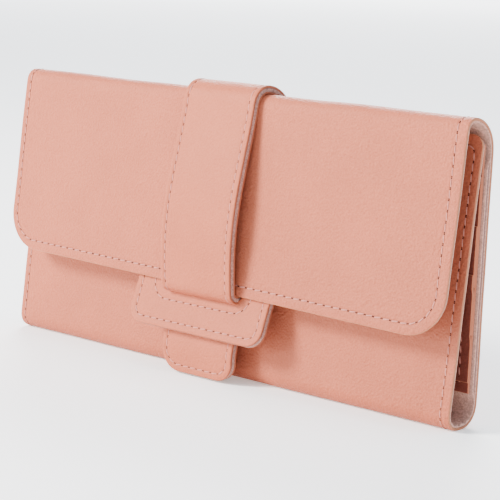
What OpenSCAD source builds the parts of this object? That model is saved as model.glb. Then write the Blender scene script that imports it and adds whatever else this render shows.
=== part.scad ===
// Tri-fold wallet with a wrap-over strap, closed and standing on its bottom fold.
// X runs along the folds, Y from the front to the back, Z up. The origin is the middle
// of the bottom fold where it stands.
// One leather cover runs from the front panel under the bottom fold, up the back, over
// the top fold and down the front as the flap. A strap sewn to the back comes over the
// top, down the flap and through the window of a keeper sewn to the front panel.

/* [Leather] */
// Thickness of the cover leather
cover_t = 0.8; // [0.6:0.05:1]
// Thickness of the lining
lining_t = 0.5; // [0.3:0.05:0.7]
// Thickness of the stiffener board in the back
board_t = 1.2; // [0.8:0.1:1.6]

/* [Body] */
// Length of the wallet along its folds
body_w = 196; // [160:1:230]
// Height of the closed wallet
body_h = 96.5; // [92:0.5:110]
// Depth over the bottom fold
base_d = 14.8; // [13.5:0.1:18]
// Outer radius of the bottom fold at the front
base_front_r = 4.2; // [3:0.1:5.5]
// Outer radius of the bottom fold at the back
base_back_r = 5.5; // [4:0.1:6.5]
// Outer radius of the top fold where it turns into the flap
top_front_r = 4; // [3:0.1:5]

/* [Front panel] */
// Top edge of the front panel under the fold
front_gap = 5.5; // [4:0.25:8]
// Angle at which the front panel leans back
front_lean = 6; // [4:0.25:6]
// Radius of the front panel's top corners
front_corner_r = 4; // [2:0.5:8]
// Height of the slip pocket inside the front panel
slip_pocket_h = 54; // [35:1:60]
// Thickness of the slip pocket's leather
slip_pocket_t = 0.7; // [0.5:0.05:0.9]

/* [Flap] */
// Height of the flap's lower edge above the ground
flap_z = 30.5; // [26:0.5:36]
// Distance of the flap's lower edge in front of the middle of the base
flap_reach = 14.2; // [13.5:0.1:16]
// Angle at which the flap leans out
flap_lean = 6.4; // [5:0.1:8]
// Radius of the flap's lower corners
flap_corner_r = 14; // [6:0.5:20]
// Height of the band below the fold that bends with it
flap_bend_h = 19.5; // [15:0.5:24]

/* [Back pockets] */
// How far the tall pocket panel on the inside of the back ends below the top
pocket_drop = 8.5; // [6:0.5:14]
// Thickness of the tall pocket panel
pocket_t = 1.1; // [0.8:0.1:1.4]
// Slack between a pocket's leather and what it is sewn over
pocket_slack = 0.3; // [0.1:0.05:0.4]
// Number of stepped card tiers on the tall pocket panel
tier_count = 3; // [2:1:3]
// Thickness of a card tier's leather
tier_t = 0.5; // [0.3:0.05:0.6]
// Step between the lower edges of two card tiers
tier_step = 15; // [12:0.5:16]
// Height of one card tier
tier_h = 34; // [30:0.5:36]
// Distance of the pocket leather from the ends of the wallet
pocket_inset = 1; // [0:0.5:4]

/* [Strap] */
// Width of the strap
strap_w = 31.5; // [24:0.5:36]
// Thickness of the strap's outer leather
strap_outer_t = 0.8; // [0.7:0.05:1.1]
// Thickness of the strap's core
strap_core_t = 1.2; // [0.6:0.05:1.4]
// Thickness of the strap's backing leather
strap_backing_t = 0.8; // [0.6:0.05:1.1]
// How far the strap stands off the flap at its middle
strap_bulge = 3.2; // [2.5:0.1:4]
// Length of the strap that is sewn to the back, below the fold
strap_rear_l = 36; // [20:1:50]
// Radius of the strap's corners at both ends
strap_corner_r = 6; // [3:0.5:10]
// Inner radius of the strap's bends at the keeper
strap_bend_r = 0.8; // [0.6:0.05:1]
// Height of the strap's tip above the ground
tip_z = 0.3; // [0.3:0.1:4]

/* [Keeper] */
// Width of the keeper plate
keeper_w = 60; // [50:0.5:70]
// Height of the keeper's lower bar
keeper_bar_h = 13; // [8:0.5:14]
// Height of the keeper's window
keeper_window_h = 12.5; // [8:0.5:14]
// Height of the keeper's sewn edge above its window
keeper_seam_h = 17; // [14:0.5:20]
// Thickness of the keeper's front and back leather
keeper_leather_t = 0.8; // [0.7:0.05:1.1]
// Thickness of the keeper's core
keeper_core_t = 1.2; // [0.6:0.05:1.4]
// Angle at which the keeper stands off, pushed out by the strap
keeper_lean = 19.5; // [18:0.25:21]
// Radius of the keeper's outer corners
keeper_corner_r = 5.5; // [3:0.5:8]
// Radius of the corners of the keeper's window
window_corner_r = 2.5; // [1.5:0.25:2.5]
// Play between the strap and what it passes
strap_play = 0.2; // [0.15:0.05:0.3]
// Play of the strap in the window's width, on each side
window_play = 2; // [1.8:0.1:3]
// Gap between the flap's lining and the keeper
keeper_gap = 0.3; // [0.2:0.05:0.5]
// Gap between the keeper's back and the tongue of the strap
tongue_gap = 0.5; // [0.3:0.05:0.7]

/* [Hidden] */

leather = [0.86, 0.66, 0.59];
leather_edge = [0.80, 0.57, 0.44];
lilac = [0.68, 0.60, 0.60];
arc_steps = 10;
cut = 60;
overrun = 5;
fold_to_seam = 2.5;
fold_past_spring = 1.8;
board_to_seam = 3;
board_play = 0.5;
pocket_foot_gap = 2.5;
tier_foot_gap = 3.5;
slip_foot_gap = 4;
square_r = 0.01;

// Directions in the section plane, written as [y, z]
function up(lean) = [sin(lean), cos(lean)];
function outward(lean) = [-cos(lean), sin(lean)];
function dot(a, b) = a[0] * b[0] + a[1] * b[1];
function mitre(a, b) = (a + b) / (1 + dot(a, b));

// A run is a list of [point, outward normal] along the outer face of a sheet
function arc_run(c, r, a0, a1, side = 1) = [
    for (i = [0:arc_steps])
        let (a = a0 + (a1 - a0) * i / arc_steps, n = [cos(a), sin(a)])
            [c + r * n, side * n]
];
function inset(run, t) = [for (s = run) s[0] - t * s[1]];
function backwards(list) = [for (i = [len(list) - 1:-1:0]) list[i]];
function band(run, t0, t1) = concat(inset(run, t0), backwards(inset(run, t1)));

// Bottom fold and back
back_y = base_d / 2;
base_back_c = [back_y - base_back_r, base_back_r];
base_front_c = [-base_d / 2 + base_front_r, base_front_r];
seam_low_z = max(base_back_r, base_front_r) + fold_to_seam;

// Front panel
front_up = up(front_lean);
front_out = outward(front_lean);
front_foot = base_front_c + base_front_r * front_out;
function front_at(z) = front_foot + front_up * (z - front_foot[1]) / front_up[1];
front_top_z = body_h - front_gap;

// Flap, whose outer face rises from flap_foot
flap_up = up(flap_lean);
flap_out = outward(flap_lean);
flap_foot = [-flap_reach, flap_z];
function flap_at(z) = flap_foot + flap_up * (z - flap_z) / flap_up[1];
sheet_t = cover_t + lining_t;

// Top fold, a small arc at the front and a large one at the back
top_front_z = body_h - top_front_r;
apex_y = -flap_reach
    + ((top_front_z - flap_z) * sin(flap_lean) + top_front_r) / cos(flap_lean);
top_front_c = [apex_y, top_front_z];
top_back_r = back_y - apex_y;
top_back_c = [apex_y, body_h - top_back_r];
seam_high_z = top_back_c[1] - fold_past_spring;
flap_top = top_front_c + top_front_r * flap_out;
flap_seam_z = body_h - flap_bend_h;

// Runs of the cover
top_arcs = concat(
    arc_run(top_back_c, top_back_r, 0, 90),
    arc_run(top_front_c, top_front_r, 90, 180 - flap_lean)
);
top_run = concat(
    [[[back_y, seam_high_z], [1, 0]]],
    top_arcs,
    [[flap_at(flap_seam_z), flap_out]]
);
flap_run = [[flap_at(flap_seam_z), flap_out], [flap_at(flap_z - overrun), flap_out]];
bottom_run = concat(
    [[front_at(seam_low_z), front_out]],
    arc_run(base_front_c, base_front_r, 180 - front_lean, 270),
    arc_run(base_back_c, base_back_r, 270, 360),
    [[[back_y, seam_low_z], [1, 0]]]
);
front_run = [[front_at(front_top_z), front_out], [front_at(seam_low_z), front_out]];
back_run = [[[back_y, seam_low_z], [1, 0]], [[back_y, seam_high_z], [1, 0]]];

// Layers of the back, as depths from the cover's outer face
board_low_z = seam_low_z + board_to_seam;
board_high_z = seam_high_z - board_to_seam;
lining_depth = cover_t + board_t;
pocket_depth = lining_depth + lining_t + pocket_slack;
pocket_low_z = seam_low_z + pocket_foot_gap;
pocket_high_z = body_h - pocket_drop;
tier_depth = pocket_depth + pocket_t;
tier_low_z = pocket_low_z + tier_foot_gap;
slip_low_z = seam_low_z + slip_foot_gap;
pocket_w = body_w - 2 * pocket_inset;

// Keeper: its rear face stands off the front panel below the bend
keeper_t = 2 * keeper_leather_t + keeper_core_t;
keeper_up = up(keeper_lean);
keeper_out = [-cos(keeper_lean), sin(keeper_lean)];
strap_t = strap_outer_t + strap_core_t + strap_backing_t;
slot_top_z = flap_z - strap_play;
slot_low_z = slot_top_z - strap_t;
bar_top_z = slot_low_z - strap_play;
keeper_low_z = bar_top_z - keeper_bar_h;
window_top_z = bar_top_z + keeper_window_h;
keeper_top_z = window_top_z + keeper_seam_h;
flap_inner_foot = flap_foot - sheet_t / cos(flap_lean) * [-1, 0];
keeper_front_p = flap_inner_foot + [keeper_gap / cos(flap_lean), 0];
keeper_rear_p = keeper_front_p + [keeper_t / cos(keeper_lean), 0];
function keeper_rear_at(z) = keeper_rear_p + keeper_up * (z - flap_z) / keeper_up[1];
// Height at which the rear face meets the front panel
keeper_bend_z = flap_z + (front_at(flap_z)[0] - keeper_rear_p[0])
    / (tan(keeper_lean) - tan(front_lean));
keeper_run = [
    [front_at(keeper_top_z + overrun), front_out],
    [front_at(keeper_bend_z), mitre(front_out, keeper_out)],
    [keeper_rear_at(keeper_low_z - overrun), keeper_out]
];
window_w = strap_w + 2 * window_play;

// Strap: its run follows the face that lies on the wallet, and its layers stand outside
strap_side = [0, strap_backing_t, strap_backing_t + strap_core_t, strap_t];
strap_rear_low_z = seam_high_z - strap_rear_l;
flap_len = (flap_top[1] - slot_top_z) / flap_up[1];
// First bend, round the flap's lower edge, turns the strap inwards
bend_in_c = [flap_at(slot_top_z + strap_bend_r)[0], slot_top_z + strap_bend_r];
bend_in_a = 180 + flap_lean;
// Second bend, over the keeper's bar, turns it down behind the bar
bend_down_z = slot_low_z - strap_bend_r;
bend_down_c = [
    keeper_rear_at(bend_down_z)[0] + (tongue_gap - strap_bend_r) / cos(keeper_lean),
    bend_down_z
];
bend_in_start = bend_in_c + strap_bend_r * [cos(bend_in_a), sin(bend_in_a)];
bulge_end = dot(bend_in_start - flap_foot, flap_out);
bulge_len = dot(flap_top - bend_in_start, flap_up);
// Height of the strap off the flap at a share u of the way down
function bulge(u) = bulge_end * u + strap_bulge * sin(180 * pow(u, 1.4));
function bulge_at(u) = flap_top - bulge_len * u * flap_up + bulge(u) * flap_out;
function bulge_slope(u) = atan2(bulge(u + 0.01) - bulge(u - 0.01), 0.02 * bulge_len);
function bulge_sample(u) = [bulge_at(u), outward(flap_lean + bulge_slope(u))];
arch_end_u = (flap_top[1] - flap_seam_z) / (bulge_len * flap_up[1]);
tongue_start_u = 0.93;
bulge_steps = 14;
function bulge_run(u0, u1, steps) = [
    for (i = [0:steps]) bulge_sample(u0 + (u1 - u0) * i / steps)
];
// The tongue follows the keeper's back, then straightens towards its tip
tongue_lean = 4;
tongue_turn_r = 5.4 * strap_t;
tongue_turn_z = keeper_low_z - strap_backing_t;
tongue_rear_r = strap_bend_r + strap_t;
tongue_rear_p = bend_down_c + tongue_rear_r * [cos(keeper_lean), -sin(keeper_lean)];
tongue_turn_p = tongue_rear_p
    - keeper_up * (tongue_rear_p[1] - tongue_turn_z) / keeper_up[1];
tongue_turn_c = tongue_turn_p - tongue_turn_r * outward(keeper_lean);
tongue_tail_p = tongue_turn_c + tongue_turn_r * outward(-tongue_lean);
tongue_tail_l = tongue_tail_p[1] + overrun;

rear_run = [
    [[back_y, strap_rear_low_z - overrun], [1, 0]],
    [[back_y, seam_high_z], [1, 0]]
];
arch_run = concat(
    [[[back_y, seam_high_z], [1, 0]]],
    top_arcs,
    bulge_run(arch_end_u / 4, arch_end_u, 3)
);
strap_front_run = bulge_run(arch_end_u, tongue_start_u, bulge_steps);
tongue_run = concat(
    bulge_run(tongue_start_u, 0.985, 3),
    arc_run(bend_in_c, strap_bend_r, bend_in_a, 270),
    arc_run(bend_down_c, tongue_rear_r, 90, -keeper_lean, -1),
    arc_run(tongue_turn_c, tongue_turn_r, 180 - keeper_lean, 180 + tongue_lean),
    [[
        tongue_tail_p + tongue_tail_l * [sin(tongue_lean), -cos(tongue_lean)],
        outward(-tongue_lean)
    ]]
);

// Turns a section drawn in [y, z] into a sheet of width w
module section(w) {
    rotate([90, 0, 90])
        linear_extrude(w, center = true)
            children();
}

// The sheet between two depths under a run's outer face
module sheet(run, t0, t1, w = body_w) {
    section(w)
        polygon(band(run, t0, t1));
}

// An outline drawn in [x, z], run through the whole depth of the wallet
module through_y() {
    rotate([90, 0, 0])
        linear_extrude(4 * base_d, center = true)
            children();
}

// A plate from z0 to z1 with rounded lower and upper corners
module plate(w, z0, z1, low_r, high_r) {
    translate([-w / 2, z0 + low_r]) square([w, z1 - z0 - low_r - high_r]);
    for (side = [-1, 1]) {
        translate([side * (w / 2 - low_r), z0 + low_r]) circle(low_r, $fn = cut);
        translate([side * (w / 2 - high_r), z1 - high_r]) circle(high_r, $fn = cut);
    }
    translate([-w / 2 + low_r, z0]) square([w - 2 * low_r, low_r]);
    translate([-w / 2 + high_r, z1 - high_r]) square([w - 2 * high_r, high_r]);
}

module cover_back() {
    color(leather)
        sheet(back_run, 0, cover_t);
}

module cover_top_fold() {
    color(leather)
        sheet(top_run, 0, cover_t);
}

module top_fold_lining() {
    color(lilac)
        sheet(top_run, cover_t, sheet_t);
}

module cover_bottom_fold() {
    color(leather)
        sheet(bottom_run, 0, cover_t);
}

module bottom_fold_lining() {
    color(lilac)
        sheet(bottom_run, cover_t, sheet_t);
}

module back_board() {
    color(lilac)
        translate([0, back_y - cover_t - board_t, board_low_z])
            translate([-body_w / 2 + board_play, 0, 0])
                cube([body_w - 2 * board_play, board_t, board_high_z - board_low_z]);
}

// Lies on the cover at both seams and climbs over the board between them
module back_lining() {
    ramp = board_t;
    profile = [
        [seam_low_z, cover_t],
        [board_low_z - ramp, cover_t],
        [board_low_z, lining_depth],
        [board_high_z, lining_depth],
        [board_high_z + ramp, cover_t],
        [seam_high_z, cover_t]
    ];
    faces = concat(
        [for (p = profile) [back_y - p[1], p[0]]],
        backwards([for (p = profile) [back_y - p[1] - lining_t, p[0]]])
    );
    color(lilac)
        section(body_w)
            polygon(faces);
}

module tall_pocket_panel() {
    color(leather_edge)
        translate([-pocket_w / 2, back_y - pocket_depth - pocket_t, pocket_low_z])
            cube([pocket_w, pocket_t, pocket_high_z - pocket_low_z]);
}

// Tier k starts k steps up and passes in front of the tiers that start above it
module card_tier(k) {
    low = tier_low_z + k * tier_step;
    function rises(z) = len([for (j = [k + 1:1:tier_count - 1])
        if (z > tier_low_z + j * tier_step - tier_t) j]);
    stops = concat(
        [low],
        [for (j = [k + 1:1:tier_count - 1]) each
            [tier_low_z + j * tier_step - 2 * tier_t, tier_low_z + j * tier_step - tier_t / 2]],
        [low + tier_h]
    );
    rear = [for (z = stops) [back_y - tier_depth - rises(z) * tier_t, z]];
    front = [for (p = rear) [p[0] - tier_t, p[1]]];
    color(leather)
        section(pocket_w)
            polygon(concat(rear, backwards(front)));
}

module card_tier_lower() {
    card_tier(0);
}

module card_tier_middle() {
    card_tier(1);
}

module card_tier_upper() {
    card_tier(2);
}

module front_outline() {
    through_y()
        plate(body_w, seam_low_z - overrun, front_top_z, square_r, front_corner_r);
}

module cover_front() {
    color(leather)
        intersection() {
            sheet(front_run, 0, cover_t);
            front_outline();
        }
}

module front_lining() {
    color(lilac)
        intersection() {
            sheet(front_run, cover_t, sheet_t);
            front_outline();
        }
}

module slip_pocket() {
    run = [
        [front_at(slip_low_z + slip_pocket_h), front_out],
        [front_at(slip_low_z), front_out]
    ];
    t0 = sheet_t + pocket_slack;
    color(leather)
        sheet(run, t0, t0 + slip_pocket_t, pocket_w);
}

// One layer of the keeper, between two distances from its rear face
module keeper_layer(t0, t1) {
    intersection() {
        sheet(keeper_run, -t0, -t1, keeper_w);
        through_y()
            difference() {
                plate(keeper_w, keeper_low_z, keeper_top_z, keeper_corner_r, keeper_corner_r);
                plate(window_w, bar_top_z, window_top_z, window_corner_r, window_corner_r);
            }
    }
}

module keeper_back() {
    color(leather_edge)
        keeper_layer(0, keeper_leather_t);
}

module keeper_core() {
    color(lilac)
        keeper_layer(keeper_leather_t, keeper_leather_t + keeper_core_t);
}

module keeper_front() {
    color(leather)
        keeper_layer(keeper_leather_t + keeper_core_t, keeper_t);
}

module flap_outline() {
    through_y()
        plate(body_w, flap_z, body_h, flap_corner_r, square_r);
}

module cover_flap() {
    color(leather)
        intersection() {
            sheet(flap_run, 0, cover_t);
            flap_outline();
        }
}

module flap_lining() {
    color(lilac)
        intersection() {
            sheet(flap_run, cover_t, sheet_t);
            flap_outline();
        }
}

// Layer 0 is the backing, 1 the core and 2 the outer leather
module strap_layer(run, layer) {
    sheet(run, -strap_side[layer], -strap_side[layer + 1], strap_w);
}

module strap_rear(layer) {
    intersection() {
        strap_layer(rear_run, layer);
        through_y()
            plate(strap_w, strap_rear_low_z, body_h, strap_corner_r, square_r);
    }
}

module strap_tongue(layer) {
    intersection() {
        strap_layer(tongue_run, layer);
        through_y()
            plate(strap_w, tip_z, body_h, strap_corner_r, square_r);
    }
}

module strap_rear_outer() {
    color(leather) strap_rear(2);
}

module strap_rear_core() {
    color(lilac) strap_rear(1);
}

module strap_rear_backing() {
    color(leather_edge) strap_rear(0);
}

module strap_arch_outer() {
    color(leather) strap_layer(arch_run, 2);
}

module strap_arch_core() {
    color(lilac) strap_layer(arch_run, 1);
}

module strap_arch_backing() {
    color(leather_edge) strap_layer(arch_run, 0);
}

module strap_front_outer() {
    color(leather) strap_layer(strap_front_run, 2);
}

module strap_front_core() {
    color(lilac) strap_layer(strap_front_run, 1);
}

module strap_front_backing() {
    color(leather_edge) strap_layer(strap_front_run, 0);
}

module strap_tongue_outer() {
    color(leather) strap_tongue(2);
}

module strap_tongue_core() {
    color(lilac) strap_tongue(1);
}

module strap_tongue_backing() {
    color(leather_edge) strap_tongue(0);
}

cover_back();
cover_top_fold();
cover_bottom_fold();
back_board();
back_lining();
top_fold_lining();
bottom_fold_lining();
tall_pocket_panel();
card_tier_lower();
card_tier_middle();
card_tier_upper();
cover_front();
front_lining();
slip_pocket();
keeper_front();
keeper_core();
keeper_back();
cover_flap();
flap_lining();
strap_rear_outer();
strap_rear_core();
strap_rear_backing();
strap_arch_outer();
strap_arch_core();
strap_arch_backing();
strap_front_outer();
strap_front_core();
strap_front_backing();
strap_tongue_outer();
strap_tongue_core();
strap_tongue_backing();
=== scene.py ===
import math

import bpy
import numpy as np
from mathutils import Matrix, Vector


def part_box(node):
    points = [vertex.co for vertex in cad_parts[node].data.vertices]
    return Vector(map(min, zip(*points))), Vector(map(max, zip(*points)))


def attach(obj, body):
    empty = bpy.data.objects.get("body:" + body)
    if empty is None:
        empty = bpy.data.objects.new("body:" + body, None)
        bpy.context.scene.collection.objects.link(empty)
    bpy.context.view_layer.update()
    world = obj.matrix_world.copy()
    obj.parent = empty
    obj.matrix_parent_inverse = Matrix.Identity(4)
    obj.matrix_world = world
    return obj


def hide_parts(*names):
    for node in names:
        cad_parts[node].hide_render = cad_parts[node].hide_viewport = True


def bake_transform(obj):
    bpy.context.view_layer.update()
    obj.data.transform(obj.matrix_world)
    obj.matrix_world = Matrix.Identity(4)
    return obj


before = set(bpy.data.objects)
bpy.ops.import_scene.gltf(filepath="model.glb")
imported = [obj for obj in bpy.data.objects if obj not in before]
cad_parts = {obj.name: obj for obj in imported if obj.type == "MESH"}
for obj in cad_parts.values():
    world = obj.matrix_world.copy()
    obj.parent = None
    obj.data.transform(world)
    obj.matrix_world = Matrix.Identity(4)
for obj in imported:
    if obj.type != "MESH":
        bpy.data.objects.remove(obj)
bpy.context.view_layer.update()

# Lengths are in millimetres up to the moment a mesh is made.
MM = 0.001


def side(node, axis, end):
    """A node's lowest (end 0) or highest (end 1) coordinate along an axis."""
    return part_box(node)[end]["xyz".index(axis)] / MM


# Sizes read from the frame
half_w = side("cover_back", "x", 1)
body_h = side("cover_top_fold", "z", 1)
back_y = side("cover_back", "y", 1)
cover_t = back_y - side("cover_back", "y", 0)
board_t = side("back_board", "y", 1) - side("back_board", "y", 0)
flap_z = side("cover_flap", "z", 0)
flap_reach = -side("cover_flap", "y", 0)
front_top_z = side("cover_front", "z", 1)
base_half_d = side("cover_bottom_fold", "y", 1)
strap_half_w = side("strap_front_outer", "x", 1)
strap_rear_z = side("strap_rear_outer", "z", 0)
strap_outer_t = side("strap_rear_outer", "y", 1) - side("strap_rear_outer", "y", 0)
strap_core_t = side("strap_rear_core", "y", 1) - side("strap_rear_core", "y", 0)
strap_backing_t = side("strap_rear_backing", "y", 1) - side("strap_rear_backing", "y", 0)
strap_t = strap_outer_t + strap_core_t + strap_backing_t
tip_z = side("strap_tongue_outer", "z", 0)
keeper_half_w = side("keeper_front", "x", 1)
keeper_low_z = side("keeper_front", "z", 0)
keeper_top_z = side("keeper_front", "z", 1)

# Sizes that the boxes don't give. Leans are in degrees from upright.
lining_t = 0.5
sheet_t = cover_t + lining_t
front_lean = 6.0
flap_lean = 6.4
base_front_r = 5.0
base_back_r = 7.0
top_front_r = 4.0
flap_corner_r = 14.0
front_corner_r = 4.0
strap_bulge = 3.2
strap_corner_r = 7.0
strap_bend_r = 0.8
strap_play = 0.2
tongue_lean = 4.0
tongue_gap = 0.5
keeper_lean = 19.5
keeper_layers = (0.8, 1.2, 0.8)
keeper_corner_r = 6.0
keeper_gap = 0.3
# The keeper is sewn on a little left of the strap's middle, as photographed
keeper_shift = -1.2
window_half_w = 17.75
window_h = 12.5
window_corner_r = 2.5

# Seams, by their distance from the edge
seam_left = 2.3
# On the right the cover's seam runs further in, and less so on the front panel, as photographed
seam_right = 3.7
seam_right_front = 2.7
seam_low = 3.4
seam_low_r = 3.0
pocket_seam = 3.4
strap_seam = 1.95
strap_seam_right = 2.2
strap_seam_tip = 2.35
keeper_seam = 2.5
window_seam = 4.1
stitch_pitch = 3.3
# How deep the thread's line lies below the face that it is sewn through
cover_thread_in = 0.06
tall_thread_in = 0.04
tier_thread_in = 0.05
strap_thread_in = 0.12
keeper_thread_in = 0.1

# The flap's lower edge isn't quite level: it hangs lower at the right end
flap_skew = 1.4
# Where the cover and the strap are parted, each between its two bends
split_back_z = 20.0
strap_split_z = 90.0


# Section lines

STEP = 0.2


def polar(angle):
    """The unit vector at an angle, in degrees, in the section plane (y, z)."""
    return np.array([math.cos(math.radians(angle)), math.sin(math.radians(angle))])


def arc(centre, radius, start, stop, step=3.0):
    """Points round a centre from one angle to another, in degrees."""
    count = max(2, int(abs(stop - start) / step) + 1)
    return [np.array(centre) + radius * polar(a) for a in np.linspace(start, stop, count)]


def up(lean):
    """Upwards along a line that leans towards the back."""
    return np.array([math.sin(math.radians(lean)), math.cos(math.radians(lean))])


def out_of(lean):
    """Towards the front, square to a line that leans towards the back."""
    return np.array([-math.cos(math.radians(lean)), math.sin(math.radians(lean))])


class Run:
    """A smooth line in the section plane, with the length along it and its outward direction.
    The cover's run starts at the front panel's top edge and goes down the front, under the base,
    up the back, over the top and down the flap. Outwards is to the outside of the wallet."""

    def __init__(self, points, soften=0.6):
        p = np.array(points, float)
        s = np.concatenate([[0], np.cumsum(np.linalg.norm(np.diff(p, axis=0), axis=1))])
        even = np.linspace(0, s[-1], int(s[-1] / STEP) + 1)
        p = np.stack([np.interp(even, s, p[:, k]) for k in (0, 1)], 1)
        reach = int(4 * soften / STEP)
        kernel = np.exp(-0.5 * (np.arange(-reach, reach + 1) * STEP / soften) ** 2)
        head = 2 * p[0] - p[reach:0:-1]
        tail = 2 * p[-1] - p[-2:-reach - 2:-1]
        q = np.concatenate([head, p, tail])
        kernel /= kernel.sum()
        self.p = np.stack([np.convolve(q[:, k], kernel, "valid") for k in (0, 1)], 1)
        steps = np.linalg.norm(np.diff(self.p, axis=0), axis=1)
        self.s = np.concatenate([[0], np.cumsum(steps)])
        self.length = self.s[-1]
        along = np.gradient(self.p, axis=0)
        along /= np.linalg.norm(along, axis=1)[:, None]
        self.n = np.stack([along[:, 1], -along[:, 0]], 1)

    def at(self, s, out):
        """Points at lengths s along the line, out from it by out."""
        p = np.stack([np.interp(s, self.s, self.p[:, k]) for k in (0, 1)], -1)
        n = np.stack([np.interp(s, self.s, self.n[:, k]) for k in (0, 1)], -1)
        n /= np.linalg.norm(n, axis=-1)[..., None]
        beyond = np.clip(s - self.length, 0, None) + np.clip(s, None, 0)
        along = np.stack([-n[..., 1], n[..., 0]], -1)
        return p + along * beyond[..., None] + n * np.asarray(out)[..., None]

    def near(self, y, z):
        """The length along the line at the place nearest to a point."""
        return self.s[np.argmin(np.hypot(self.p[:, 0] - y, self.p[:, 1] - z))]


base_front_c = np.array([-base_half_d + base_front_r, base_front_r])
front_foot = base_front_c + base_front_r * out_of(front_lean)


def front_at(z):
    """The front panel's outer face at a height."""
    return front_foot + up(front_lean) * (z - front_foot[1]) / up(front_lean)[1]


flap_foot = np.array([-flap_reach, flap_z])
top_front_z = body_h - top_front_r
apex_y = -flap_reach + (
    (top_front_z - flap_z) * math.sin(math.radians(flap_lean)) + top_front_r
) / math.cos(math.radians(flap_lean))
top_front_c = np.array([apex_y, top_front_z])
top_back_r = back_y - apex_y
top_back_c = np.array([apex_y, body_h - top_back_r])
top_arcs = arc(top_back_c, top_back_r, 0, 90) + arc(top_front_c, top_front_r, 90, 180 - flap_lean)
flap_top = top_arcs[-1]

cover_run = Run(
    [front_at(front_top_z)]
    + arc(base_front_c, base_front_r, 180 - front_lean, 270)
    + arc((back_y - base_back_r, base_back_r), base_back_r, 270, 360)
    + top_arcs
    + [flap_foot],
    soften=1.0,
)
cover_mid_s = cover_run.near(back_y, split_back_z)
fold_s = cover_run.near(*flap_top)
base_s = cover_run.near((back_y - base_half_d) / 2, 0)
flap_len = cover_run.length - fold_s


def cover_waves(x, s, broad=0.16, small=0.1, strap_zone=20, base_zone=9):
    """Slight waves of the leather. They fade out under the strap and on the bottom fold."""
    waves = broad * np.sin(x / 15 + s / 31 + 0.6) * np.sin(s / 19 - x / 47 + 1.1)
    waves += small * np.sin(x / 8.3 - s / 12 + 2.0) * np.sin(s / 9.1 + x / 29)
    beside_strap = np.clip((np.abs(x) - strap_zone) / strap_zone, 0, 1)
    off_base = 1 - np.exp(-(((s - base_s) / base_zone) ** 2))
    return waves * (beside_strap * off_base)


def cover_place(x, s, out):
    """A point of the cover: x along the folds, s along the section, out from the outer face."""
    share = np.clip((s - fold_s) / flap_len, 0, None)
    s = s + flap_skew * x / half_w * share
    yz = cover_run.at(s, out + cover_waves(x, s))
    return np.stack([x, yz[..., 0], yz[..., 1]], -1)


# Keeper, on the line of its rear face
bar_top_z = flap_z - 2 * strap_play - strap_t
keeper_t = sum(keeper_layers)
flap_inner_y = -flap_reach + sheet_t / math.cos(math.radians(flap_lean))
keeper_rear_y = flap_inner_y + keeper_gap + keeper_t / math.cos(math.radians(keeper_lean))


def keeper_at(z):
    """The keeper's rear face at a height, below its bend."""
    return np.array([keeper_rear_y, flap_z]) + up(keeper_lean) * (z - flap_z) / up(keeper_lean)[1]


keeper_bend_z = flap_z + (front_at(flap_z)[0] - keeper_rear_y) / (
    math.tan(math.radians(keeper_lean)) - math.tan(math.radians(front_lean))
)
keeper_run = Run(
    [front_at(keeper_top_z), front_at(keeper_bend_z), keeper_at(keeper_low_z)],
    soften=1.5,
)


def keeper_place(x, s, out):
    """A point of the keeper, out from its rear face."""
    yz = keeper_run.at(s, out)
    return np.stack([x + keeper_shift, yz[..., 0], yz[..., 1]], -1)


# Strap, on the line of the face that lies on the wallet
slot_top_z = flap_z - strap_play
slot_low_z = slot_top_z - strap_t
bend_in_c = (flap_foot + up(flap_lean) * (slot_top_z + strap_bend_r - flap_z))
bend_in_start = bend_in_c + strap_bend_r * polar(180 + flap_lean)
bulge_end = (bend_in_start - flap_foot) @ out_of(flap_lean)
bulge_len = (flap_top - bend_in_start) @ up(flap_lean)
bend_down_z = slot_low_z - strap_bend_r
bend_down_c = np.array([
    keeper_at(bend_down_z)[0] + (tongue_gap - strap_bend_r) / math.cos(math.radians(keeper_lean)),
    bend_down_z,
])
tongue_r = strap_bend_r + strap_t
tongue_turn_r = 5.4 * strap_t
tongue_turn_z = keeper_low_z - strap_backing_t
tongue_rear = bend_down_c + tongue_r * polar(-keeper_lean)
tongue_turn = tongue_rear - up(keeper_lean) * (tongue_rear[1] - tongue_turn_z) / up(keeper_lean)[1]
tongue_turn_c = tongue_turn - tongue_turn_r * out_of(keeper_lean)
tongue_tail = tongue_turn_c + tongue_turn_r * out_of(-tongue_lean)


def bulge_at(u):
    """The strap's inner face at a share u of its way down the flap."""
    off = bulge_end * u + strap_bulge * math.sin(math.pi * u**1.4)
    return flap_top - bulge_len * u * up(flap_lean) + off * out_of(flap_lean)


strap_run = Run(
    [np.array([back_y, strap_rear_z])]
    + top_arcs[:-1]
    + [bulge_at(u) for u in np.linspace(0, 0.97, 40)]
    + arc(bend_in_c, strap_bend_r, 180 + flap_lean, 270, 6)
    + arc(bend_down_c, tongue_r, 90, -keeper_lean, 6)
    + arc(tongue_turn_c, tongue_turn_r, 180 - keeper_lean, 180 + tongue_lean)
    + [tongue_tail + tongue_tail[1] * np.array([math.sin(math.radians(tongue_lean)), -1])],
    soften=0.5,
)
tip_rise = 0.3
strap_tip_s = strap_run.s[np.where(strap_run.p[:, 1] > tip_z + tip_rise)[0][-1]]
strap_split_s = strap_run.near(flap_top[0], strap_split_z)
strap_clearance = 0.06


def strap_place(x, s, out):
    """A point of the strap, out from the face that lies on the wallet."""
    yz = strap_run.at(s, out + strap_clearance)
    return np.stack([x, yz[..., 0], yz[..., 1]], -1)


# Meshes

# Rows of vertices at these distances round an edge off. Paint covers it up to PAINT_REACH.
EDGE_STOPS = (0.0, 0.03, 0.1, 0.2, 0.34, 0.5)
PAINT_REACH = 0.16


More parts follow.
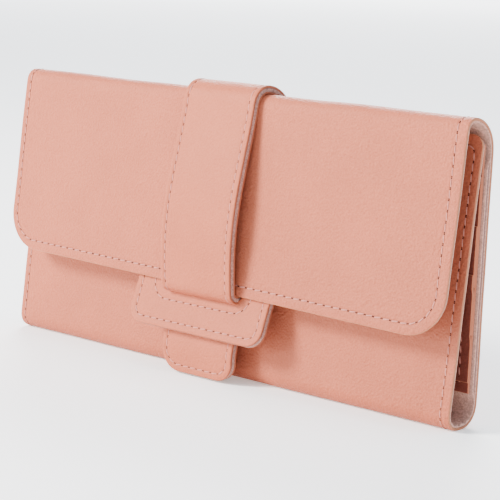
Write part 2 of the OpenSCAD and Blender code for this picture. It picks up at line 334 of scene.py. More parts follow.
def thinned(values, least=0.02):
    """Sorted values, without those that crowd the one before. Both ends stay."""
    values = sorted(values)
    kept = [values[0]]
    for v in values[1:-1]:
        if v - kept[-1] > least and values[-1] - v > least:
            kept.append(v)
    return np.array(kept + [values[-1]])


def make(name, vertices, faces, slots, materials, smooth_angle=50):
    """An object from vertices in millimetres."""
    mesh = bpy.data.meshes.new(name)
    mesh.from_pydata((np.asarray(vertices) * MM).tolist(), [], faces)
    mesh.polygons.foreach_set("material_index", slots)
    mesh.polygons.foreach_set("use_smooth", [True] * len(faces))
    for m in materials:
        mesh.materials.append(m)
    mesh.set_sharp_from_angle(angle=math.radians(smooth_angle))
    mesh.update()
    obj = bpy.data.objects.new(name, mesh)
    bpy.context.scene.collection.objects.link(obj)
    return obj


def strip(ring_a, ring_b):
    """Faces between two equally long rows of vertex numbers."""
    return [
        (a0, b0, b1, a1)
        for a0, a1, b0, b1 in zip(ring_a[:-1], ring_a[1:], ring_b[:-1], ring_b[1:])
    ]


def depth_in(gx, gs, outline, r):
    """How far inside a rounded flat outline (x0, x1, s0, s1) points lie, negative outside it."""
    x0, x1, s0, s1 = outline
    qx = np.abs(gx - (x0 + x1) / 2) - ((x1 - x0) / 2 - r)
    qs = np.abs(gs - (s0 + s1) / 2) - ((s1 - s0) / 2 - r)
    past = np.hypot(np.clip(qx, 0, None), np.clip(qs, 0, None))
    return r - np.minimum(np.maximum(qx, qs), 0) - past


def sheet(name, place, x, s, out, materials, corners=(0, 0), cuts=(False, False),
          stops=(), steps=(4.0, 1.5), relief=None, creases=None, round_r=0.3):
    """A sheet of leather or cloth over the flat rectangle x by s, between two depths out: first
    its outer face, then its inner face. corners are the radii at its two s ends, and a cut end is
    one that another piece goes on from. materials are for the outer face, the edge and, where it
    differs, the inner face."""
    x0, x1 = x
    s0, s1 = s
    round_r = min(round_r, abs(out[0] - out[1]) * 0.45)
    edge = list(EDGE_STOPS) + list(stops)
    columns = [x0 + e for e in edge] + [x1 - e for e in edge]
    rows = [s0, s1]
    rows += [] if cuts[0] else [s0 + e for e in edge]
    rows += [] if cuts[1] else [s1 - e for e in edge]
    for r in corners:
        for a in range(0, 90, 9):
            bow = r * (1 - math.sin(math.radians(a)))
            columns += [x0 + bow, x1 - bow]
    columns += list(np.arange(x0, x1, (x1 - x0) / max(1, round((x1 - x0) / steps[0]))))
    rows += list(np.arange(s0, s1, (s1 - s0) / max(1, round((s1 - s0) / steps[1]))))
    columns = thinned([c for c in columns if x0 <= c <= x1])
    rows = thinned([r for r in rows if s0 <= r <= s1])
    gx, gs = np.meshgrid(columns, rows)
    mid, half = (x0 + x1) / 2, (x1 - x0) / 2
    for r, end, sign in ((corners[0], s0, 1), (corners[1], s1, -1)):
        if r:
            past = np.clip(np.abs(gx - mid) - (half - r), 0, r)
            lift = r - np.sqrt(np.clip(r * r - past * past, 0, None))
            inward = (gs - end) * sign
            moved = end + sign * (lift + inward * (2 * r - lift) / (2 * r))
            gs = np.where(inward < 2 * r, moved, gs)
    # A cut end counts as far inside the sheet, so it gets no rounded edge
    far = 100
    sa = s0 - (far if cuts[0] else 0)
    sb = s1 + (far if cuts[1] else 0)
    r = np.where(gs < (s0 + s1) / 2, corners[0], corners[1]) + 1e-6
    inside = np.clip(depth_in(gx, gs, (x0, x1, sa, sb), r), 0, None)
    t = np.clip((round_r - inside) / round_r, 0, 1)
    drop = round_r * (1 - np.sqrt(1 - t * t))
    lift = relief(inside, gx, gs) if relief else 0
    outer = place(gx, gs, out[0] - drop + lift)
    inner = place(gx, gs, out[1] + drop - (creases(gx, gs) if creases else 0))
    nr, nc = gx.shape
    top = np.arange(nr * nc).reshape(nr, nc)
    low = top + nr * nc
    faces, slots = [], []
    for i in range(nr - 1):
        for j in range(nc - 1):
            near = inside[i:i + 2, j:j + 2].mean() < PAINT_REACH
            faces.append((top[i, j], top[i + 1, j], top[i + 1, j + 1], top[i, j + 1]))
            faces.append((low[i, j], low[i, j + 1], low[i + 1, j + 1], low[i + 1, j]))
            slots += [1 if near else 0, 1 if near else 2]
    left, right = (top[:, 0], low[:, 0]), (low[:, -1], top[:, -1])
    for a, b in (left, right, (low[0], top[0]), (top[-1], low[-1])):
        walls = strip(list(a), list(b))
        faces += walls
        slots += [1] * len(walls)
    vertices = np.concatenate([outer.reshape(-1, 3), inner.reshape(-1, 3)])
    faces = [tuple(int(v) for v in f) for f in faces]
    face_mat, edge_mat = materials[0], materials[1]
    rear_mat = materials[2] if len(materials) > 2 else face_mat
    return make(name, vertices, faces, slots, [face_mat, edge_mat, rear_mat])


def lip(seam, radii, height=0.1, groove=0.12, groove_w=0.55, shift=None):
    """The raised lip between an edge and its seam (x0, x1, s0, s1), and the groove that the thread
    pulls. shift says how far the seam is moved along x at a place."""
    def relief(inside, gx, gs):
        r = np.where(gs < (seam[2] + seam[3]) / 2, radii[0], radii[1])
        past = depth_in(gx - (shift(gx, gs) if shift else 0), gs, seam, r)
        share = np.where(past < 0, inside / np.maximum(inside - past, 1e-6), 0)
        puff = height * np.sin(np.pi * np.clip(share, 0, 1)) ** 0.7
        dip = groove * np.exp(-(past / groove_w) ** 2)
        rise = 0.5 * height * (1 - np.exp(-np.clip(past, 0, None) / 2.5))
        return puff - dip + rise
    return relief


def tube(vertices, faces, rings, turns):
    """Adds a closed tube of elliptic rings (centre, across, normal, half width, half height)."""
    start = len(vertices)
    for centre, across, normal, rx, rz in rings:
        for k in range(turns):
            a = 2 * math.pi * k / turns
            vertices.append(centre + across * rx * math.cos(a) + normal * rz * math.sin(a))
    for i in range(len(rings) - 1):
        for k in range(turns):
            a, b = start + i * turns + k, start + i * turns + (k + 1) % turns
            faces.append((a, b, b + turns, a + turns))
    faces.append(tuple(start + k for k in reversed(range(turns))))
    faces.append(tuple(start + (len(rings) - 1) * turns + k for k in range(turns)))


def stitches(name, place, line, out, closed=False):
    """Thread along a line of flat points (x, s), with two needle holes between two stitches."""
    thread_half_w, thread_half_h, sink, bow, slant, gap = 0.25, 0.17, 0.06, 0.16, 0.28, 0.85
    hole_apart, hole_half_w, hole_half_h, hole_rise = 0.24, 0.3, 0.045, 0.02
    line = np.array(line + [line[0]] if closed else line, float)
    length = np.concatenate([[0], np.cumsum(np.linalg.norm(np.diff(line, axis=0), axis=1))])
    count = max(1, round(length[-1] / stitch_pitch))
    pitch = length[-1] / count
    vertices, faces, slots = [], [], []

    def flat(t):
        return np.array([np.interp(t, length, line[:, k]) for k in (0, 1)])

    def frame_at(t):
        """The place at a length, and there the unit vectors along, out and across."""
        c = flat(t)
        ahead = flat(min(t + 0.15, length[-1])) - flat(max(t - 0.15, 0))
        ahead /= np.linalg.norm(ahead) + 1e-9
        p = place(c[0], c[1], np.asarray(out))
        n = place(c[0], c[1], np.asarray(out + 0.5)) - p
        q = place(c[0] + 0.2 * ahead[0], c[1] + 0.2 * ahead[1], np.asarray(out)) - p
        n /= np.linalg.norm(n)
        q /= np.linalg.norm(q)
        return p, q, n, np.cross(n, q)

    def add(rings, turns, slot):
        before = len(faces)
        tube(vertices, faces, rings, turns)
        slots.extend([slot] * (len(faces) - before))

    for i in range(count):
        a, b = i * pitch + gap / 2, (i + 1) * pitch - gap / 2
        rings = []
        for u in np.linspace(0, 1, 7):
            p, q, n, across = frame_at(a + (b - a) * u)
            swell = math.sin(math.pi * (0.1 + 0.8 * u)) ** 0.5
            rise = bow * math.sin(math.pi * u) - sink
            centre = p + n * rise + across * (u - 0.5) * slant
            rings.append((centre, across, n, thread_half_w * swell, thread_half_h * swell))
        add(rings, 8, 0)
    # Each needle hole is a flat, near-black disc just over the face: painted shade of the hole,
    # not a cut.
    for i in range(count + (0 if closed else 1)):
        p, q, n, across = frame_at(min(max(i * pitch, 0.3), length[-1] - 0.3))
        for shift in (-hole_apart, hole_apart):
            add([
                (p + q * (shift + d) + n * hole_rise, across, n, hole_half_w * w, hole_half_h * w)
                for d, w in ((-0.2, 0.35), (-0.1, 0.9), (0.1, 0.9), (0.2, 0.35))
            ], 6, 1)
    return make(name, vertices, faces, slots, [thread, painted_hole_shade], 60)


def rounded(x0, x1, s0, s1, r0, r1, step=1.0):
    """A closed flat outline with corner radii r0 at s0 and r1 at s1. It starts in the middle of
    its s0 side."""
    points = [((x0 + x1) / 2, s0)]
    for cx, cs, r, a in (
        (x1 - r0, s0 + r0, r0, -90), (x1 - r1, s1 - r1, r1, 0),
        (x0 + r1, s1 - r1, r1, 90), (x0 + r0, s0 + r0, r0, 180),
    ):
        for b in np.linspace(a, a + 90, max(2, int(r * 1.6 / step) + 2)):
            points.append((cx + r * math.cos(math.radians(b)), cs + r * math.sin(math.radians(b))))
    return points


# Materials

def blank_material(name):
    """A new material with its nodes, its links and its shader."""
    mat = bpy.data.materials.new(name)
    mat.use_nodes = True
    nodes = mat.node_tree.nodes
    return mat, nodes, mat.node_tree.links, nodes["Principled BSDF"]


def noise(nodes, scale, detail):
    """A noise texture."""
    node = nodes.new("ShaderNodeTexNoise")
    node.inputs["Scale"].default_value = scale
    node.inputs["Detail"].default_value = detail
    return node


def colour_ramp(nodes, low, high):
    """A ramp between two ends, each a position and a colour."""
    node = nodes.new("ShaderNodeValToRGB")
    for element, (position, colour) in zip(node.color_ramp.elements, (low, high)):
        element.position = position
        element.color = (*[min(1, c) for c in colour], 1)
    return node


def scaled(colour, share):
    """A lighter or darker colour."""
    return [c * share for c in colour]


# Grain of the materials, in cells per metre
PEBBLES = 1250
FINE_GRAIN = 2000
SOFT_PATCHES = 60


def leather(name, colour, grain=1.0, rough=0.5):
    """Fine-grained leather: pebbles, a soft variation of colour and a satin surface."""
    mat, nodes, links, shader = blank_material(name)
    coords = nodes.new("ShaderNodeTexCoord")
    cells = nodes.new("ShaderNodeTexVoronoi")
    cells.feature = "SMOOTH_F1"
    cells.inputs["Scale"].default_value = PEBBLES
    cells.inputs["Smoothness"].default_value = 0.6
    fine = noise(nodes, FINE_GRAIN, 4)
    wide = noise(nodes, SOFT_PATCHES, 3)
    height = nodes.new("ShaderNodeMath")
    height.operation = "MULTIPLY_ADD"
    height.inputs[1].default_value = 0.55
    links.new(fine.outputs["Fac"], height.inputs[0])
    links.new(cells.outputs["Distance"], height.inputs[2])
    bump = nodes.new("ShaderNodeBump")
    bump.inputs["Strength"].default_value = 0.75 * grain
    bump.inputs["Distance"].default_value = 0.00032
    links.new(height.outputs[0], bump.inputs["Height"])
    tint = colour_ramp(nodes, (0.3, scaled(colour, 0.955)), (0.7, scaled(colour, 1.035)))
    links.new(wide.outputs["Fac"], tint.inputs["Fac"])
    speck = nodes.new("ShaderNodeMix")
    speck.data_type = "RGBA"
    speck.blend_type = "MULTIPLY"
    speck.inputs["Factor"].default_value = 0.5 * grain
    shade = colour_ramp(nodes, (0.25, (0.62, 0.5, 0.46)), (0.62, (1, 1, 1)))
    links.new(fine.outputs["Fac"], shade.inputs["Fac"])
    links.new(tint.outputs["Color"], speck.inputs["A"])
    links.new(shade.outputs["Color"], speck.inputs["B"])
    for node in (cells, fine, wide):
        links.new(coords.outputs["Object"], node.inputs["Vector"])
    links.new(speck.outputs["Result"], shader.inputs["Base Color"])
    links.new(bump.outputs["Normal"], shader.inputs["Normal"])
    shader.inputs["Roughness"].default_value = rough
    shader.inputs["Specular IOR Level"].default_value = 0.1
    return mat


def cloth(name, colour, scale=1500, depth=0.5):
    """A matte close-woven or felted stuff, flecked light and dark."""
    mat, nodes, links, shader = blank_material(name)
    coords = nodes.new("ShaderNodeTexCoord")
    fleck = noise(nodes, scale, 6)
    fleck.inputs["Roughness"].default_value = 0.7
    links.new(coords.outputs["Object"], fleck.inputs["Vector"])
    dark, light = scaled(colour, 1 - 0.45 * depth), scaled(colour, 1 + 0.4 * depth)
    flecks = colour_ramp(nodes, (0.34, dark), (0.66, light))
    links.new(fleck.outputs["Fac"], flecks.inputs["Fac"])
    links.new(flecks.outputs["Color"], shader.inputs["Base Color"])
    bump = nodes.new("ShaderNodeBump")
    bump.inputs["Strength"].default_value = 0.6
    bump.inputs["Distance"].default_value = 0.0001
    links.new(fleck.outputs["Fac"], bump.inputs["Height"])
    links.new(bump.outputs["Normal"], shader.inputs["Normal"])
    shader.inputs["Roughness"].default_value = 0.9
    shader.inputs["Specular IOR Level"].default_value = 0.2
    return mat


cover_leather = leather("cover_leather", (0.41, 0.112, 0.059))
strap_leather = leather("strap_leather", (0.415, 0.112, 0.057), grain=0.7)
# The pockets' leather is painted about half as light as the cover: painted shade for the inside of
# the wallet. Their edges keep the light colour.
pocket_leather = leather("pocket_leather", (0.19, 0.048, 0.032), grain=0.8)
painted_edge = leather("painted_edge", (0.36, 0.105, 0.052), grain=0.4, rough=0.45)
pocket_edge = leather("pocket_edge", (0.45, 0.145, 0.075), grain=0.4, rough=0.45)
pale_edge = leather("pale_edge", (0.45, 0.175, 0.09), grain=0.4, rough=0.55)
core_stuff = cloth("core_stuff", (0.38, 0.205, 0.165), depth=1.1)
lining_cloth = cloth("lining_cloth", (0.57, 0.31, 0.235), scale=1300, depth=0.8)
board_stuff = cloth("board_stuff", (0.25, 0.14, 0.125), depth=0.7)
thread = cloth("thread", (0.47, 0.18, 0.135), scale=2600, depth=0.35)
# Near black: painted shade standing in for the inside of the needle holes.
painted_hole_shade = cloth("painted_hole_shade", (0.03, 0.008, 0.006), depth=0.4)


# Cover: one leather, parted low on the back for the sake of its two folds

cover_seam_box = (
    -half_w + seam_left, half_w - seam_right, seam_low, cover_run.length - seam_low,
)
cover_seam_r = (seam_low_r, flap_corner_r - seam_low)
cover_stops = (0.9, 1.5, 1.9, 2.1, 2.3, 2.5, 2.7, 2.9, 3.1, 3.4, 3.7, 4.0, 4.4, 5.0, 6.0)
# Air between two layers that lie on each other
layer_gap = 0.02


def seam_shift(x, s):
    """How much closer to the right end the seam runs on the front panel than on the flap."""
    share = 1 - np.clip((s - base_s) / (cover_mid_s - base_s), 0, 1)
    return (seam_right - seam_right_front) * share * np.clip(x / half_w, 0, 1)


cover_lip = lip(cover_seam_box, cover_seam_r, groove=0.13, shift=seam_shift)


def cover_bodies(obj, upper):
    """Fixes a piece of the cover in place; the upper and the lower piece are treated alike."""
    if upper:
        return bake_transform(obj)
    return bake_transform(obj)


def base_creases(x, s):
    """Small folds of the lining where the bottom fold gathers it."""
    share = np.exp(-(((s - base_s) / 6.5) ** 2))
    waves = np.sin(s * 1.9 + 1.4 * np.sin(x / 6.0)) + 0.6 * np.sin(s * 3.3 - x / 3.5 + 1.0)
    return share * (0.35 + 0.3 * waves)


def cover_layer(kind, out, materials, inset, low_nodes, high_nodes,
                relief=None, creases=None):
    """A layer of the cover: one piece below the line that parts it, and one above."""
    x = (-half_w + inset, half_w - inset)
    end_s = cover_run.length - inset
    low = sheet(
        f"cover_{kind}_low", cover_place, x, (inset, cover_mid_s), out, materials,
        corners=(front_corner_r, 0), cuts=(False, True), stops=cover_stops,
        steps=(2.5, 0.6), relief=relief, creases=creases,
    )
    high = sheet(
        f"cover_{kind}_high", cover_place, x, (cover_mid_s, end_s), out, materials,
        corners=(0, flap_corner_r), cuts=(True, False), stops=cover_stops,
        steps=(3.5, 0.8), relief=relief,
    )
    cover_bodies(low, False)
    cover_bodies(high, True)
    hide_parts(*low_nodes)
    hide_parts(*high_nodes)


def cover():
    """The outer leather and the lining behind it."""
    cover_layer(
        "leather", (0, -cover_t), (cover_leather, pale_edge, cover_leather),
        inset=0, relief=cover_lip,
        low_nodes=("cover_front", "cover_bottom_fold"),
        high_nodes=("cover_back", "cover_top_fold", "cover_flap"),
    )
    cover_layer(
        "lining", (-cover_t - layer_gap, -sheet_t), (lining_cloth, lining_cloth),
        inset=0.15, creases=base_creases,
        low_nodes=("front_lining", "bottom_fold_lining"),
        high_nodes=("top_fold_lining", "flap_lining"),
    )


def open_part(loop, split_s, left, right, beyond):
    """The part of a closed seam before or beyond a split, as one open line from side to side."""
    if beyond:
        part = [p for p in loop if p[1] > split_s]
    else:
        part = [p for p in loop[1:] if p[1] < split_s][::-1]
    on_right = [p for p in part if p[0] > 0]
    on_left = [p for p in part if p[0] < 0]
    return [(right, split_s)] + on_right + on_left + [(left, split_s)]


def cover_seam():
    """One line of stitches round the whole cover, inside its edge."""
    outline = rounded(*cover_seam_box, *cover_seam_r, 0.8)
    loop = [(x + float(seam_shift(x, s)), s) for x, s in outline]
    for name, upper in (("low", False), ("high", True)):
        line = open_part(loop, cover_mid_s, *cover_seam_box[:2], upper)
        seam = stitches(f"cover_seam_{name}", cover_place, line, -cover_thread_in)
        cover_bodies(seam, upper)


# Inside of the back

def back_layers():
    """The lining of the back and the stiffener board behind it."""
    low, high = side("back_lining", "z", 0), side("back_lining", "z", 1)
    board_low, board_high = side("back_board", "z", 0), side("back_board", "z", 1)
    depth = -cover_t - layer_gap

    def s_range(z0, z1):
        return cover_run.near(back_y, z0), cover_run.near(back_y, z1)

    def over_board(x, s, out):
        z = cover_run.at(s, np.zeros_like(s))[..., 1]
        rise = np.clip((z - low) / (board_low - low), 0, 1)
        rise = rise * np.clip((high - z) / (high - board_high), 0, 1)
        smooth = rise * rise * (3 - 2 * rise)
        return cover_place(x, s, out - (board_t + 2 * layer_gap) * smooth)

    lining = sheet(
        "back_lining_cloth", over_board, (-half_w + 0.2, half_w - 0.2), s_range(low, high),
        (depth, depth - lining_t), (lining_cloth, lining_cloth), steps=(6, 1.2),
    )
    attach(lining, "back")
    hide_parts("back_lining")
    board = sheet(
        "back_board_sheet", cover_place, (-half_w + 0.5, half_w - 0.5),
        s_range(board_low, board_high), (depth, -cover_t - board_t),
        (board_stuff, board_stuff), steps=(8, 4),
    )
    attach(board, "back")
    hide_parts("back_board")


pocket_x = (side("tall_pocket_panel", "x", 0), side("tall_pocket_panel", "x", 1))
pocket_seam_x = (pocket_x[0] + pocket_seam, pocket_x[1] - pocket_seam)


def upright_place(rear_y, step_t=0.0, feet=()):
    """Places a sheet on an upright plane: s is minus the height, and out is to the front. The
    sheet steps forward by step_t over each sheet behind it, from just below that one's foot up."""
    step_low, step_h = 2.2, 2.0

    def place(x, s, out):
        x, z = np.broadcast_arrays(np.asarray(x, float), -np.asarray(s, float))
        rise = sum(step_t * np.clip((z - (foot - step_low)) / step_h, 0, 1) for foot in feet)
        return np.stack([x, rear_y - np.asarray(out) - rise + 0 * z, z + 0 * x], -1)
    return place


def pocket_sheet(name, node, place, thick, relief=None, stops=()):
    """A pocket's leather. Its s runs downwards, so that its outer face looks to the front."""
    s = (-side(node, "z", 1), -side(node, "z", 0))
    piece = sheet(
        name, place, pocket_x, s, (thick, 0.0), (pocket_leather, pocket_edge, pocket_leather),
        stops=stops, steps=(5, 1.5), relief=relief, round_r=0.35,
    )
    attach(piece, "back")
    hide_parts(node)
    return s


def pocket_stitches(name, place, line, out):
    """A seam of the pockets, which stay with the back."""
    seam = stitches(name, place, line, out)
    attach(seam, "back")


def tall_pocket():
    """The tall pocket panel, with a U of stitches down both ends and along the foot."""
    node = "tall_pocket_panel"
    rear_y = side(node, "y", 1)
    # The leather is a little thinner than the panel's solid, which leaves room for its lip
    thick = rear_y - side(node, "y", 0) - 0.05
    place = upright_place(rear_y)
    seam_top, seam_foot = -side(node, "z", 1) + 2, -side(node, "z", 0) - pocket_seam
    seam_box = (*pocket_seam_x, -side(node, "z", 1) - 50, seam_foot)
    pocket_sheet(
        "tall_pocket_leather", node, place, thick, stops=(2.4, 3.0, 3.4, 3.8, 4.4),
        relief=lip(seam_box, (1, 1), height=0.05, groove=0.1),
    )
    left, right = pocket_seam_x
    line = [(left, seam_top), (left, seam_foot), (right, seam_foot), (right, seam_top)]
    pocket_stitches("tall_pocket_seam", place, line, thick - tall_thread_in)


def card_tiers():
    """The stepped card tiers on the tall panel, each sewn down both ends and the middle."""
    tiers = ("card_tier_upper", "card_tier_middle", "card_tier_lower")
    feet = [side(node, "z", 0) for node in tiers]
    tier_t = side(tiers[0], "y", 1) - side(tiers[0], "y", 0)
    thick = tier_t * 0.92
    for k, node in enumerate(tiers):
        place = upright_place(side(node, "y", 1), tier_t * 1.02, feet[:k])
        top, foot = pocket_sheet(f"{node}_leather", node, place, thick)
        for number, x in enumerate((pocket_seam_x[0], 0.0, pocket_seam_x[1]), 1):
            line = [(x, top + 1.5), (x, foot - 1.5)]
            pocket_stitches(f"{node}_seam_{number}", place, line, thick - tier_thread_in)


def slip_pocket():
    """The slip pocket on the inside of the front panel."""
    low_s = cover_run.near(*front_at(side("slip_pocket", "z", 0)))
    high_s = cover_run.near(*front_at(side("slip_pocket", "z", 1)))
    x1 = side("slip_pocket", "x", 1)
    gap, thick = 0.3, 0.65
    depth = -sheet_t - gap
    piece = sheet(
        "slip_pocket_leather", cover_place, (-x1, x1), (high_s, low_s), (depth, depth - thick),
        (pocket_leather, pocket_edge, pocket_leather), steps=(5, 1.5), corners=(1.5, 1.0),
    )
    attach(piece, "front_panel")
    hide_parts("slip_pocket")


# Strap: three layers, parted at the front corner of the top fold. The core lies back a little
# from the painted edges of the leathers.

core_inset = 0.04
core_round_r = 0.1
strap_seam_box = (
    -strap_half_w + strap_seam, strap_half_w - strap_seam_right,
    strap_seam, strap_tip_s - strap_seam_tip,
)
strap_seam_r = strap_corner_r - strap_seam
strap_lip = lip(
    strap_seam_box, (strap_seam_r, strap_seam_r), height=0.14, groove=0.14, groove_w=0.5,
)


def strap_bodies(obj, upper):
    """Fixes a piece of the strap in place; the upper and the lower piece are treated alike."""
    if upper:
        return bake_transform(obj)
    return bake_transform(obj)


def strap_layer(kind, out, face, edge, inset=0.0, round_r=0.42, relief=None):
    """A layer of the strap: one piece up the back and over the top, and one down the flap."""
    x = (-strap_half_w + inset, strap_half_w - inset)
    shape = dict(
        stops=(0.75, 1.1, 1.5, 1.75, 1.95, 2.15, 2.4, 2.8, 3.4, 4.2),
        relief=relief, round_r=round_r,
    )
    high = sheet(
        f"strap_{kind}_high", strap_place, x, (inset, strap_split_s), out, (face, edge, face),
        corners=(strap_corner_r, 0), cuts=(False, True), steps=(2.5, 0.55), **shape,
    )
    low = sheet(
        f"strap_{kind}_low", strap_place, x, (strap_split_s, strap_tip_s - inset), out,
        (face, edge, face),
        corners=(0, strap_corner_r), cuts=(True, False), steps=(2.5, 0.4), **shape,
    )
    strap_bodies(high, True)
    strap_bodies(low, False)
    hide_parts(f"strap_rear_{kind}", f"strap_arch_{kind}")
    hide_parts(f"strap_front_{kind}", f"strap_tongue_{kind}")


def strap():
    """The strap's three layers from the outside in, and the stitches round it."""
    outer_low = strap_t - strap_outer_t
    strap_layer(
        "outer", (strap_t, outer_low), strap_leather, painted_edge,
        relief=strap_lip,
    )
    strap_layer(
        "core", (outer_low, strap_backing_t), core_stuff, core_stuff,
        inset=core_inset, round_r=core_round_r,
    )
    strap_layer(
        "backing", (strap_backing_t, 0), strap_leather, painted_edge,
    )
    loop = rounded(*strap_seam_box, strap_seam_r, strap_seam_r, 0.6)
    for name, upper in (("high", True), ("low", False)):
        line = open_part(loop, strap_split_s, *strap_seam_box[:2], not upper)
        seam = stitches(f"strap_seam_{name}", strap_place, line, strap_t - strap_thread_in)
        strap_bodies(seam, upper)


# Keeper: three layers, each a plate with the window in it

keeper_plate = (-keeper_half_w, keeper_half_w, 0.0, keeper_run.length)
window_low_s = keeper_run.near(*keeper_at(bar_top_z))
window_high_s = keeper_run.near(*keeper_at(bar_top_z + window_h))
keeper_window = (-window_half_w, window_half_w, window_high_s, window_low_s)


def ring_outline(x0, x1, s0, s1, r, count_arc=9, count_side=14):
    """A closed rounded rectangle with a fixed number of points, so that rings match one to one."""
    points = []
    corners = (
        (x1 - r, s0 + r, -90), (x1 - r, s1 - r, 0), (x0 + r, s1 - r, 90), (x0 + r, s0 + r, 180),
    )
    for k, (cx, cs, a) in enumerate(corners):
        points += [
            (cx + r * math.cos(math.radians(b)), cs + r * math.sin(math.radians(b)))
            for b in np.linspace(a, a + 90, count_arc)
        ]
        x, s = points[-1]
        nx, ns, na = corners[(k + 1) % 4]
        to_x, to_s = nx + r * math.cos(math.radians(na)), ns + r * math.sin(math.radians(na))
        points += [
            (x + (to_x - x) * t, s + (to_s - s) * t)
            for t in np.linspace(0, 1, count_side)[1:-1]
        ]
    return np.array(points)


def plate_ring(d):
    """The ring at a distance inside the plate's edge."""
    x0, x1, s0, s1 = keeper_plate
    return ring_outline(x0 + d, x1 - d, s0 + d, s1 - d, keeper_corner_r - d)


def window_ring(d):
    """The ring at a distance outside the window's edge."""
    x0, x1, s0, s1 = keeper_window
    return ring_outline(x0 - d, x1 + d, s0 - d, s1 + d, window_corner_r + d)


def keeper_relief(d, seam_d):
    """The raised lip, the groove under the seam and the rise within it, at a distance d in."""
    lip_h, groove, groove_w, rise, rise_w = 0.12, 0.13, 0.5, 0.05, 2.0
    lift = lip_h * math.sin(math.pi * min(1, d / seam_d)) ** 0.7
    lift -= groove * math.exp(-((d - seam_d) / groove_w) ** 2)
    return lift + rise * (1 - math.exp(-max(0, d - seam_d) / rise_w))


def keeper_layer(kind, low, high, face, edge, inset=0.0, round_r=0.4, relief=None):
    """A layer of the keeper between two heights over its rear face."""
    near = [d for d in EDGE_STOPS if d < round_r + 0.15]
    plate_stops = near + [0.9, 1.4, 1.9, 2.2, keeper_seam, 2.8, 3.2, 4.2]
    window_stops = near + [0.9, 1.6, 2.4, 3.1, 3.6, window_seam - 0.2, window_seam, 4.3, 4.7, 5.4]

    def heights(d, seam_d):
        t = min(1, max(0, (round_r - d) / round_r))
        drop = round_r * (1 - math.sqrt(1 - t * t))
        lift = relief(d, seam_d) if relief else 0
        return low + drop, high - drop + lift

    rings = [(plate_ring(d + inset), heights(d, keeper_seam)) for d in plate_stops]
    rings += [
        (window_ring(d + inset), heights(d, window_seam)) for d in reversed(window_stops)
    ]
    count = len(rings[0][0])
    front = [keeper_place(r[:, 0], r[:, 1], np.full(count, h[1])) for r, h in rings]
    rear = [keeper_place(r[:, 0], r[:, 1], np.full(count, h[0])) for r, h in rings]
    loops = front + rear[::-1]
    faces, slots = [], []
    n = len(rings)
    for a in range(len(loops)):
        b = (a + 1) % len(loops)
        on_edge = a < 3 or n - 4 <= a < n + 3 or a > 2 * n - 5
        for j in range(count):
            j2 = (j + 1) % count
            faces.append((a * count + j, b * count + j, b * count + j2, a * count + j2))
            slots.append(1 if on_edge else 0)
    piece = make(f"keeper_{kind}_layer", np.concatenate(loops), faces, slots, [face, edge])
    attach(piece, "front_panel")
    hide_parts(f"keeper_{kind}")


def keeper_stitches(name, box, d, r):
    """A seam round the keeper, moved in from the sides of a box by d."""
    x0, x1, s0, s1 = box
    line = rounded(x0 + d, x1 - d, s0 + d, s1 - d, r, r, 0.6)
    out = keeper_t - keeper_thread_in
    seam = stitches(f"keeper_seam_{name}", keeper_place, line, out, closed=True)
    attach(seam, "front_panel")


def keeper():
    """The keeper's three layers from the inside out, and its two seams."""
    back_top, core_top, front_top = np.cumsum(keeper_layers)
    keeper_layer("back", 0.0, back_top, strap_leather, painted_edge)
    keeper_layer(
        "core", back_top, core_top, core_stuff, core_stuff,
        inset=core_inset, round_r=core_round_r,
    )
    keeper_layer(
        "front", core_top, front_top, strap_leather, painted_edge,
        relief=keeper_relief,
    )
    keeper_stitches("outer", keeper_plate, keeper_seam, keeper_corner_r - keeper_seam)
    keeper_stitches("window", keeper_window, -window_seam, window_corner_r + window_seam)


# Camera, lights and floor

# The camera, in millimetres, found from the vanishing points of the wallet's edges
LENS = 129.77
SENSOR = 36
CAMERA_AT = Vector((402.1, -451.1, 140.5))
CAMERA_AHEAD = Vector((-0.64935, 0.74346, -0.16004))
CAMERA_RIGHT = Vector((0.74751, 0.66270, 0.04552))


def camera():
    """The photograph's camera."""
    data = bpy.data.cameras.new("camera")
    data.sensor_width = SENSOR
    data.lens = LENS
    obj = bpy.data.objects.new("camera", data)
    bpy.context.scene.collection.objects.link(obj)
    ahead = CAMERA_AHEAD.normalized()
    right = (CAMERA_RIGHT - ahead * CAMERA_RIGHT.dot(ahead)).normalized()
    above = right.cross(ahead)
    turn = Matrix((right, above, -ahead)).transposed().to_4x4()
    turn.translation = CAMERA_AT * MM
    obj.matrix_world = turn
    data.clip_start, data.clip_end = 0.05, 100
    bpy.context.scene.camera = obj


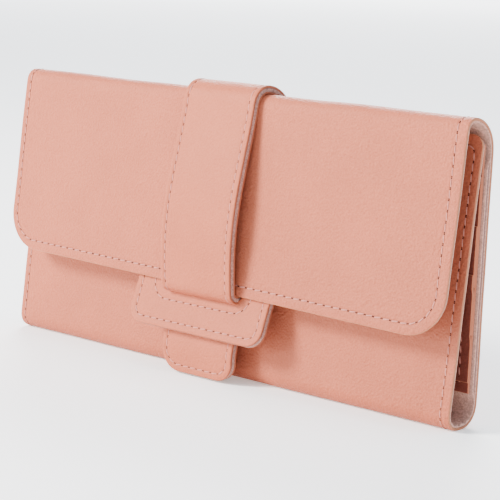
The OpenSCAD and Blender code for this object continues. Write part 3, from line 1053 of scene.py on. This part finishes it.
def area_light(name, place, target, size, power, colour=(1, 1, 1)):
    """A light of a size in metres and a power in watts, aimed at a target."""
    data = bpy.data.lights.new(name, "AREA")
    data.shape = "RECTANGLE"
    data.size, data.size_y = size
    data.energy = power
    data.color = colour
    obj = bpy.data.objects.new(name, data)
    obj.location = place
    obj.rotation_mode = "QUATERNION"
    obj.rotation_quaternion = (Vector(target) - Vector(place)).to_track_quat("-Z", "Y")
    bpy.context.scene.collection.objects.link(obj)


def white_floor(half=40.0):
    """A white floor that glows a little, as on a light table."""
    mesh = bpy.data.meshes.new("floor")
    corners = [(-half, -half, 0), (half, -half, 0), (half, half, 0), (-half, half, 0)]
    mesh.from_pydata(corners, [], [(0, 1, 2, 3)])
    floor = bpy.data.objects.new("floor", mesh)
    bpy.context.scene.collection.objects.link(floor)
    mat = bpy.data.materials.new("floor_white")
    mat.use_nodes = True
    shader = mat.node_tree.nodes["Principled BSDF"]
    shader.inputs["Base Color"].default_value = (0.95, 0.95, 0.955, 1)
    shader.inputs["Roughness"].default_value = 0.75
    shader.inputs["Specular IOR Level"].default_value = 0.1
    shader.inputs["Emission Color"].default_value = (1.0, 0.93, 0.85, 1)
    shader.inputs["Emission Strength"].default_value = 0.45
    mesh.materials.append(mat)


def surround():
    """An even, slightly cool light from all sides."""
    world = bpy.data.worlds.new("surround")
    world.use_nodes = True
    background = world.node_tree.nodes["Background"]
    background.inputs["Color"].default_value = (0.85, 1.0, 1.2, 1)
    background.inputs["Strength"].default_value = 0.95
    bpy.context.scene.world = world


def studio():
    """The floor, the surround, soft light from the upper left and the front, and one behind."""
    white_floor()
    surround()
    area_light(
        "key", place=(-0.8, -0.95, 0.8), target=(0, 0, 0.05), size=(0.4, 0.4), power=62,
        colour=(1, 0.97, 0.93),
    )
    area_light(
        "sheen", place=(-0.4, -0.75, 0.14), target=(0.07, 0, 0.06), size=(0.25, 0.25), power=6,
    )
    area_light("top", place=(0.0, 0.1, 1.1), target=(0, 0, 0.05), size=(0.9, 0.5), power=7)
    area_light(
        "behind", place=(-5.0, 6.2, 4.6), target=(-0.6, 0.8, 0), size=(4.0, 4.0), power=1500,
    )


camera()
studio()
cover()
cover_seam()
back_layers()
tall_pocket()
card_tiers()
slip_pocket()
strap()
keeper()
